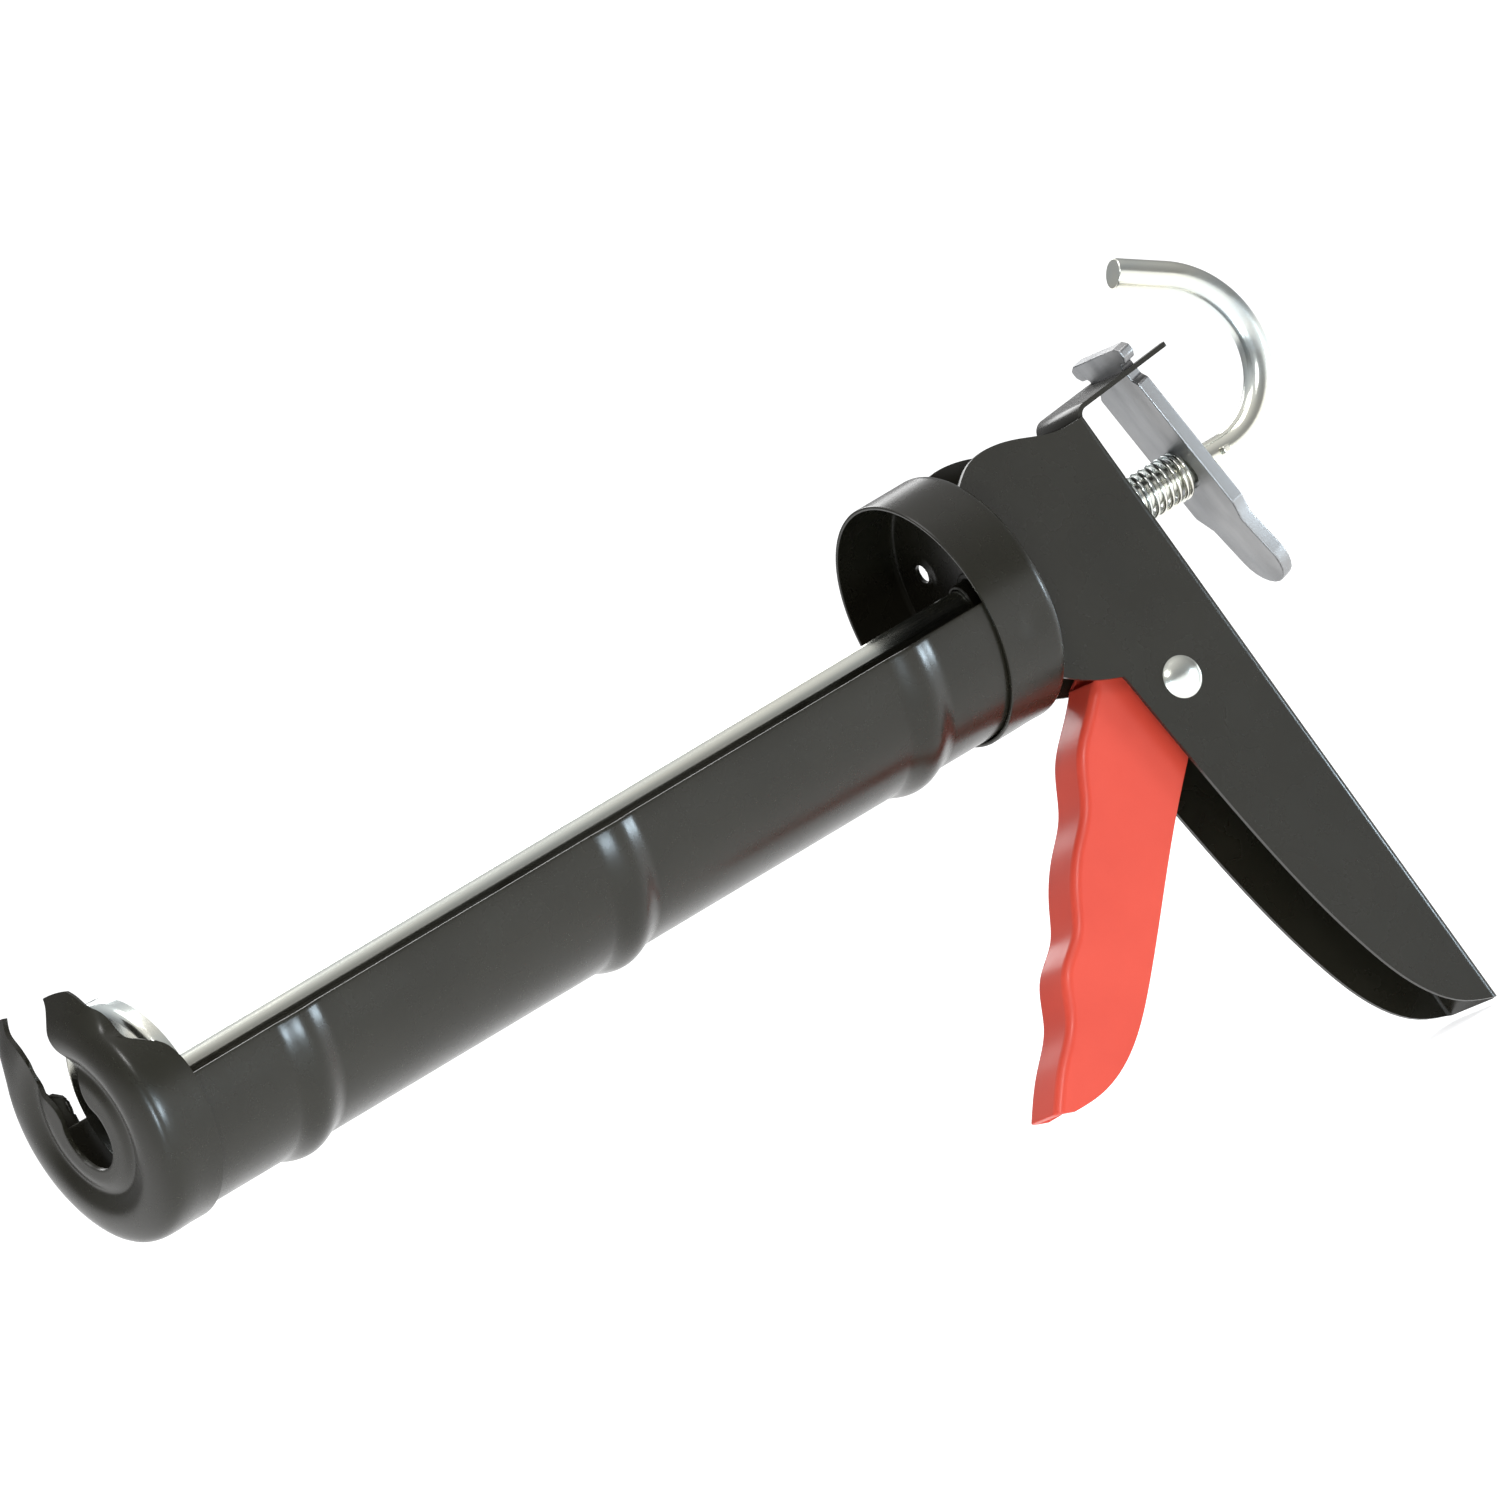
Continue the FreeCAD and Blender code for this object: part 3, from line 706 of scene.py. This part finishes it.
def make_rivet():
    """The pivot rivet: its pin and two low domed heads."""
    head, height = RIVET_HEAD
    ease = 0.25
    ball = (head**2 + height**2) / (2 * height)
    profile = []
    for side in (-1, 1):
        base = side * FRAME_HALF
        dome = []
        steps = 12
        for k in range(steps + 1):
            r = head * (1 - k / steps)
            lift = math.sqrt(ball**2 - r**2) - (ball - height)
            dome.append((base + side * max(lift, ease if k else ease * 0.6), r))
        edge = [(base, PIN_RADIUS), (base, head - 0.1), (base + side * 0.1, head)]
        half = edge + dome[:-1] + [(base + side * height, 0.001)]
        profile += half[::-1] if side < 0 else half
    obj = revolve("pivot_rivet_body", profile, 64, (PIVOT[0], PIVOT[2]), "y", closed=False)
    smooth(obj, 40)
    place(obj, "frame", "zinc_plate", "pivot_rivet")


def make_trigger():
    """The trigger: a folded channel whose front wall has three finger waves."""
    front = [(246.7, -26.4), (242.2, -31.0), (235.6, -37.6), (230.0, -47.6), (224.7, -53.1), (218.4, -61.8)]
    front += [(214.8, -67.8), (208.6, -73.2), (204.0, -82.0), (197.6, -88.9), (191.0, -97.0)]
    half_sheet = TRIGGER_SHEET / 2
    front = spline([(x + 0.79 * half_sheet, z - 0.613 * half_sheet) for x, z in front], 0.8)
    rear = [(195.2, -98.6), (202.4, -98.3), (209.8, -95.9), (224.1, -84.3), (236.8, -70.4)]
    rear = spline(rear + [(249.2, -57.0), (262.0, -44.5), (268.5, -38.0)], 1.5)
    cam, size = (269.1, -7.2), 3.5
    back = spline([(268.5, -38.0), (271.2, -31.0), (272.6, -20.0), (cam[0] + size, cam[1])], 1.5)
    angles = np.radians(range(10, 220, 15))
    turn = [(cam[0] + size * math.cos(a), cam[1] + size * math.sin(a)) for a in angles]
    neck = spline([(266.5, -9.55), (265.4, -13.4), (261.2, -20.0), (253.0, -23.2), front[0]], 1.5)
    outline = front + rear[:-1] + back + turn + neck[:-1]
    half = TRIGGER_HALF - half_sheet
    count = len(outline)
    verts = [(x, -half, z) for x, z in outline] + [(x, half, z) for x, z in outline]
    wall = [(i, i + 1, count + i + 1, count + i) for i in range(len(front) - 1)]
    faces = [tuple(range(count)), tuple(count + i for i in range(count))[::-1]] + wall
    obj = from_data("trigger_sheet", verts, faces)

    fold(obj, 1.5, 5)
    fix_normals(obj)
    solidify(obj, TRIGGER_SHEET)
    ease_edges(obj, 0.25, 50.0)
    smooth(obj, 30)
    place(obj, "trigger", "red_paint", "trigger")


# ---- release plate and springs ----
def make_release_plate():
    """The release plate: a T-shaped head, a stem and a narrower tail, bent once where the tail starts."""
    head_top, bend, end = (285.6, 29.1), (293.15, -10.0), (298.6, -29.6)
    top = head_top[1]
    outline = [(0, top), (9.0, top), (10.8, 28.2), (10.8, 26.6), (9.6, 25.4), (7.2, 25.4), (7.2, 21.6)]
    outline += [(8.5, 20.4), (8.5, -9.4)]
    tip = [(6.3 * math.cos(a), -22.4 - 6.4 * math.sin(a)) for a in np.radians(range(15, 91, 15))]

    def front_x(z):
        a, b = (head_top, bend) if z > bend[1] else (bend, end)
        return a[0] + (b[0] - a[0]) * (a[1] - z) / (a[1] - b[1])

    right = rounded(outline, 0.7, closed=False)[1:]
    right += [(8.4, bend[1]), (6.3, -13.8), (6.3, -22.4)] + tip
    upper = [(y, z) for y, z in right if z >= bend[1]]
    below = [(y, z) for y, z in right if z <= bend[1]]
    faces = []
    verts = []

    def add(points):
        start = len(verts)
        verts.extend((front_x(z), y, z) for y, z in points)
        faces.append(tuple(range(start, start + len(points))))

    add(upper + [(-y, z) for y, z in upper[::-1]])
    add(below + [(-y, z) for y, z in below[::-1] if y > 0.01])
    obj = from_data("release_plate_body", verts, faces)
    bm = bmesh.new()
    bm.from_mesh(obj.data)
    if sum(f.normal.x for f in bm.faces) > 0:
        bmesh.ops.reverse_faces(bm, faces=bm.faces)
    bm.to_mesh(obj.data)
    bm.free()
    solidify(obj, PLATE_SHEET, -1.0)
    hole = sweep("hole", [(280, 0, 0.2), (310, 0, 0.2)], 4.0, 48)
    cut(obj, hole)
    ease_edges(obj, 0.35, 40.0, 3)
    smooth(obj, 30)
    place(obj, "release_plate", "hardened_steel", "release_plate")


def coil(name, front, rear, mean, wire, turns, closed_share):
    """A round-wire spring whose end turns lie close together."""
    per_turn = 40
    count = int(turns * per_turn)
    pitches = []
    for i in range(count):
        at = min(i, count - 1 - i) / per_turn
        pitches.append(closed_share + (1 - closed_share) * min(1.0, max(0.0, at - 0.6)))
    total = sum(pitches)
    along = front + wire
    length = rear - front - 2 * wire
    path = [(along, 0.0, mean)]
    for i in range(count):
        along += length * pitches[i] / total
        a = 2 * math.pi * (i + 1) / per_turn
        path.append((along, mean * math.sin(a), mean * math.cos(a)))
    obj = sweep(name, path, wire, 14)
    return smooth(obj, 50)


def make_springs():
    spring = coil("return_spring_wire", RETURN_FRONT, RETURN_REAR, 5.3, 0.5, 6.5, 0.45)
    place(spring, "frame", "spring_steel", "return_spring")
    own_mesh(spring)
    spring = coil("release_spring_wire", RELEASE_FRONT, RELEASE_REAR, 4.72, 0.48, 8.0, 0.5)
    place(spring, "frame", "spring_steel", "release_spring")
    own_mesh(spring)


# ---- rod and piston ----
def make_rod():
    """The push rod with its hook, the head and collar that hold the piston, and two stakes by the bend."""
    x, z, heading = BEND_START, 0.0, 0.0
    path = straight((ROD_FRONT, 0, 0), (BEND_START, 0, 0), 10.0)
    path.append((BEND_START, 0.0, 0.0))
    for radius, degrees in HOOK_ARCS:
        cx, cz = x - radius * math.sin(heading), z + radius * math.cos(heading)
        steps = round(degrees / 3)
        for k in range(1, steps + 1):
            a = heading + math.radians(degrees) * k / steps
            path.append((cx + radius * math.sin(a), 0.0, cz - radius * math.cos(a)))
        x, _, z = path[-1]
        heading += math.radians(degrees)
    end = (x + HOOK_TIP * math.cos(heading), 0.0, z + HOOK_TIP * math.sin(heading))
    path += straight(path[-1], end, 2.0)[1:] + [end]
    obj = sweep("push_rod_bar", path, ROD_RADIUS, 48)
    ease_edges(obj, 0.35, 60.0, 3)
    head = ring("head", PISTON_FRONT - 1.0, PISTON_FRONT - 0.1, 0.3, 4.6, 0.4)
    collar = ring("collar", BACKER_REAR + 0.1, BACKER_REAR + 1.5, ROD_RADIUS - 0.3, 4.0, 0.3)
    stakes = []
    for side in (-1, 1):
        corners = rounded([(299.0, 2.6), (299.5, 4.4), (301.2, 4.5), (301.9, 2.6)], 0.5)
        low = [(x, side * y, -0.75) for x, y in corners]
        high = [(x, side * y, 0.75) for x, y in corners]
        n = len(corners)
        faces = [tuple(range(n)), tuple(n + i for i in range(n))[::-1]]
        faces += [(i, (i + 1) % n, n + (i + 1) % n, n + i) for i in range(n)]
        stake = from_data("stake", low + high, faces)
        ease_edges(stake, 0.25, 60.0, 3)
        stakes.append(stake)
    join(obj, head, collar, *stakes)
    smooth(obj, 40)
    place(obj, "rod", "zinc_plate", "push_rod")


def make_piston():
    """The piston: a shallow pressed cup, and the washer behind it."""
    bore, sheet = ROD_RADIUS + ROD_PLAY, 1.2
    rim = PISTON_REAR
    inner = PISTON_RADIUS - sheet
    web = PISTON_FRONT + sheet
    outside = [(PISTON_FRONT, bore), (PISTON_FRONT, PISTON_RADIUS), (rim, PISTON_RADIUS)]
    outside = rounded(outside, 2.0, closed=False)
    inside = rounded([(rim, inner), (web, inner), (web, bore)], 0.8, closed=False)
    disc = revolve("piston_disc_body", outside + inside)
    smooth(disc, 40)
    place(disc, "piston", "zinc_plate", "piston_disc")
    backer = ring("piston_backer_body", BACKER_FRONT, BACKER_REAR, bore, 8.0, 0.3)
    smooth(backer, 40)
    place(backer, "piston", "zinc_plate", "piston_backer")


def make_bushing():
    """The swaged eyelet through the cup's web and the bracket, and the washer between them."""
    bore = ROD_RADIUS + ROD_PLAY
    low, high = extent("rod_bushing", 0)
    front_lip, rear_lip = (235.3, 236.1, 5.4), (239.6, 240.5, 6.2)
    corners = [(low, bore), (low, WASHER_BORE), (front_lip[0], WASHER_BORE), (front_lip[0], front_lip[2])]
    corners += [(front_lip[1], front_lip[2]), (front_lip[1], WASHER_BORE)]
    corners += [(rear_lip[0], WASHER_BORE), (rear_lip[0], rear_lip[2]), (high, rear_lip[2]), (high, bore)]
    bushing = revolve("rod_bushing_body", rounded(corners, 0.3))
    smooth(bushing, 40)
    place(bushing, "frame", "black_paint", "rod_bushing")
    low, high = extent("swivel_washer", 0)
    washer = ring("swivel_washer_body", low, high, WASHER_BORE, 9.0, 0.25)
    smooth(washer, 40)
    place(washer, "frame", "zinc_plate", "swivel_washer")


def make_spacers():
    inner = FRAME_HALF - FRAME_SHEET
    rings = []
    for low, high in ((-inner, -TRIGGER_HALF - 0.1), (TRIGGER_HALF + 0.1, inner)):
        centre = (PIVOT[0], PIVOT[2])
        rings.append(ring("spacer", low, high, PIN_RADIUS, 5.0, 0.2, centre=centre, along="y"))
    obj = join(*rings)
    obj.name = "pivot_spacer_rings"
    smooth(obj, 40)
    place(obj, "frame", "zinc_plate", "pivot_spacers")


def finish_cad_nodes():
    """The CAD nodes that stay get their materials, and eased edges."""
    for name, slot in (("front_bracket", "black_paint"), ("drive_plate_front", "hardened_steel"),
                       ("drive_plate_rear", "hardened_steel")):
        node = NODES[name]
        node.data.materials.clear()
        node.data.materials.append(MATERIALS[slot])
        weld = node.modifiers.new("weld", "WELD")
        weld.merge_threshold = 0.000005
        edges = node.modifiers.new("edges", "BEVEL")
        edges.width = 0.15 * MM
        edges.segments = 2
        edges.limit_method = "ANGLE"
        edges.angle_limit = math.radians(50)


# ---- the studio ----
def make_floor():
    """A plain pale floor just below the gun."""
    size = 40.0
    z = CAD_LOW[2] - FLOOR_GAP * MM
    mesh = bpy.data.meshes.new("floor")
    corners = [(-size, -size, z), (size, -size, z), (size, size, z), (-size, size, z)]
    mesh.from_pydata(corners, [], [(0, 1, 2, 3)])
    floor = new_object("floor", mesh)
    mat, tree, shader = material("floor")
    shader.inputs["Roughness"].default_value = 0.9
    shader.inputs["Base Color"].default_value = (0.6, 0.6, 0.6, 1)
    shader.inputs["Emission Color"].default_value = (1, 1, 1, 1)
    shader.inputs["Emission Strength"].default_value = 0.75
    mesh.materials.append(mat)


def make_world():
    """A white tent: bright above, and greyer towards the horizon. The camera itself sees plain white."""
    world = bpy.data.worlds.new("studio")
    bpy.context.scene.world = world
    world.use_nodes = True
    tree = world.node_tree
    tree.nodes.clear()
    out = tree.nodes.new("ShaderNodeOutputWorld")
    tent = tree.nodes.new("ShaderNodeBackground")
    plain = tree.nodes.new("ShaderNodeBackground")
    plain.inputs["Color"].default_value = (1.0, 1.0, 1.0, 1.0)
    coords = tree.nodes.new("ShaderNodeTexCoord")
    split = tree.nodes.new("ShaderNodeSeparateXYZ")
    tree.links.new(coords.outputs["Generated"], split.inputs["Vector"])
    height = tree.nodes.new("ShaderNodeMapRange")
    height.inputs["From Min"].default_value = -1.0
    tree.links.new(split.outputs["Z"], height.inputs["Value"])
    stops = [(0.0, (0.9, 0.9, 0.9)), (0.47, (0.55, 0.55, 0.56)), (0.56, (0.30, 0.30, 0.305))]
    stops += [(0.72, (0.40, 0.41, 0.42)), (1.0, (0.90, 0.90, 0.90))]
    tree.links.new(ramp(tree, height.outputs["Result"], stops), tent.inputs["Color"])
    ray = tree.nodes.new("ShaderNodeLightPath")
    mix = tree.nodes.new("ShaderNodeMixShader")
    tree.links.new(ray.outputs["Is Camera Ray"], mix.inputs["Fac"])
    tree.links.new(tent.outputs["Background"], mix.inputs[1])
    tree.links.new(plain.outputs["Background"], mix.inputs[2])
    tree.links.new(mix.outputs["Shader"], out.inputs["Surface"])


def make_light(name, place_at, target, size, watts, colour=(1.0, 1.0, 1.0)):
    light = bpy.data.lights.new(name, "AREA")
    light.shape = "RECTANGLE"
    light.size, light.size_y = size
    light.energy = watts
    light.color = colour
    obj = bpy.data.objects.new(name, light)
    bpy.context.scene.collection.objects.link(obj)
    obj.location = place_at
    obj.rotation_mode = "QUATERNION"
    obj.rotation_quaternion = (Vector(target) - Vector(place_at)).to_track_quat("-Z", "Y")


def make_camera():
    """A long lens, turned and rolled as the gun was seen."""
    right = Vector(VIEW_RIGHT)
    back = Vector(VIEW_BACK).normalized()
    right = (right - back * right.dot(back)).normalized()
    up = back.cross(right)
    middle = (CAD_LOW + CAD_HIGH) / 2
    aim = Vector((middle[0] + AIM_OFFSET[0], 0.0, middle[2] + AIM_OFFSET[1]))
    data = bpy.data.cameras.new("camera")
    data.lens = LENS
    data.sensor_width = SENSOR
    camera = bpy.data.objects.new("camera", data)
    bpy.context.scene.collection.objects.link(camera)
    distance = VIEW_WIDTH * LENS / SENSOR
    rotation = Matrix((right, up, back)).transposed().to_4x4()
    camera.matrix_world = Matrix.Translation(aim + back * distance) @ rotation
    data.clip_end = 200
    bpy.context.scene.camera = camera


make_camera()
make_trough()
make_cap()
make_cup()
make_frame()
make_rivet()
make_trigger()
make_release_plate()
make_springs()
make_rod()
make_piston()
make_bushing()
make_spacers()
finish_cad_nodes()
make_floor()
make_world()
make_light("window", (-0.55, -1.5, 1.1), (0.15, 0, 0), (0.30, 0.42), 9)
make_light("overhead", (0.1, -0.2, 1.6), (0.15, 0, 0), (1.3, 0.9), 12)

DAYLIGHT = (0.72, 0.88, 1.0)
make_light("card_side", (0.0, -0.36, -0.09), (0.1, 0, 0), (0.10, 0.05), 0.8, DAYLIGHT)
make_light("card_front", (-0.26, -0.22, -0.09), (0.0, 0, 0), (0.06, 0.06), 0.5, DAYLIGHT)
make_light("card_rear", (0.62, -0.20, -0.09), (0.2, 0, 0), (0.10, 0.06), 0.8, DAYLIGHT)
make_light("far_side", (0.6, 1.3, 0.9), (0.15, 0, 0), (0.9, 0.6), 8)
bpy.context.scene.view_settings.view_transform = "Standard"
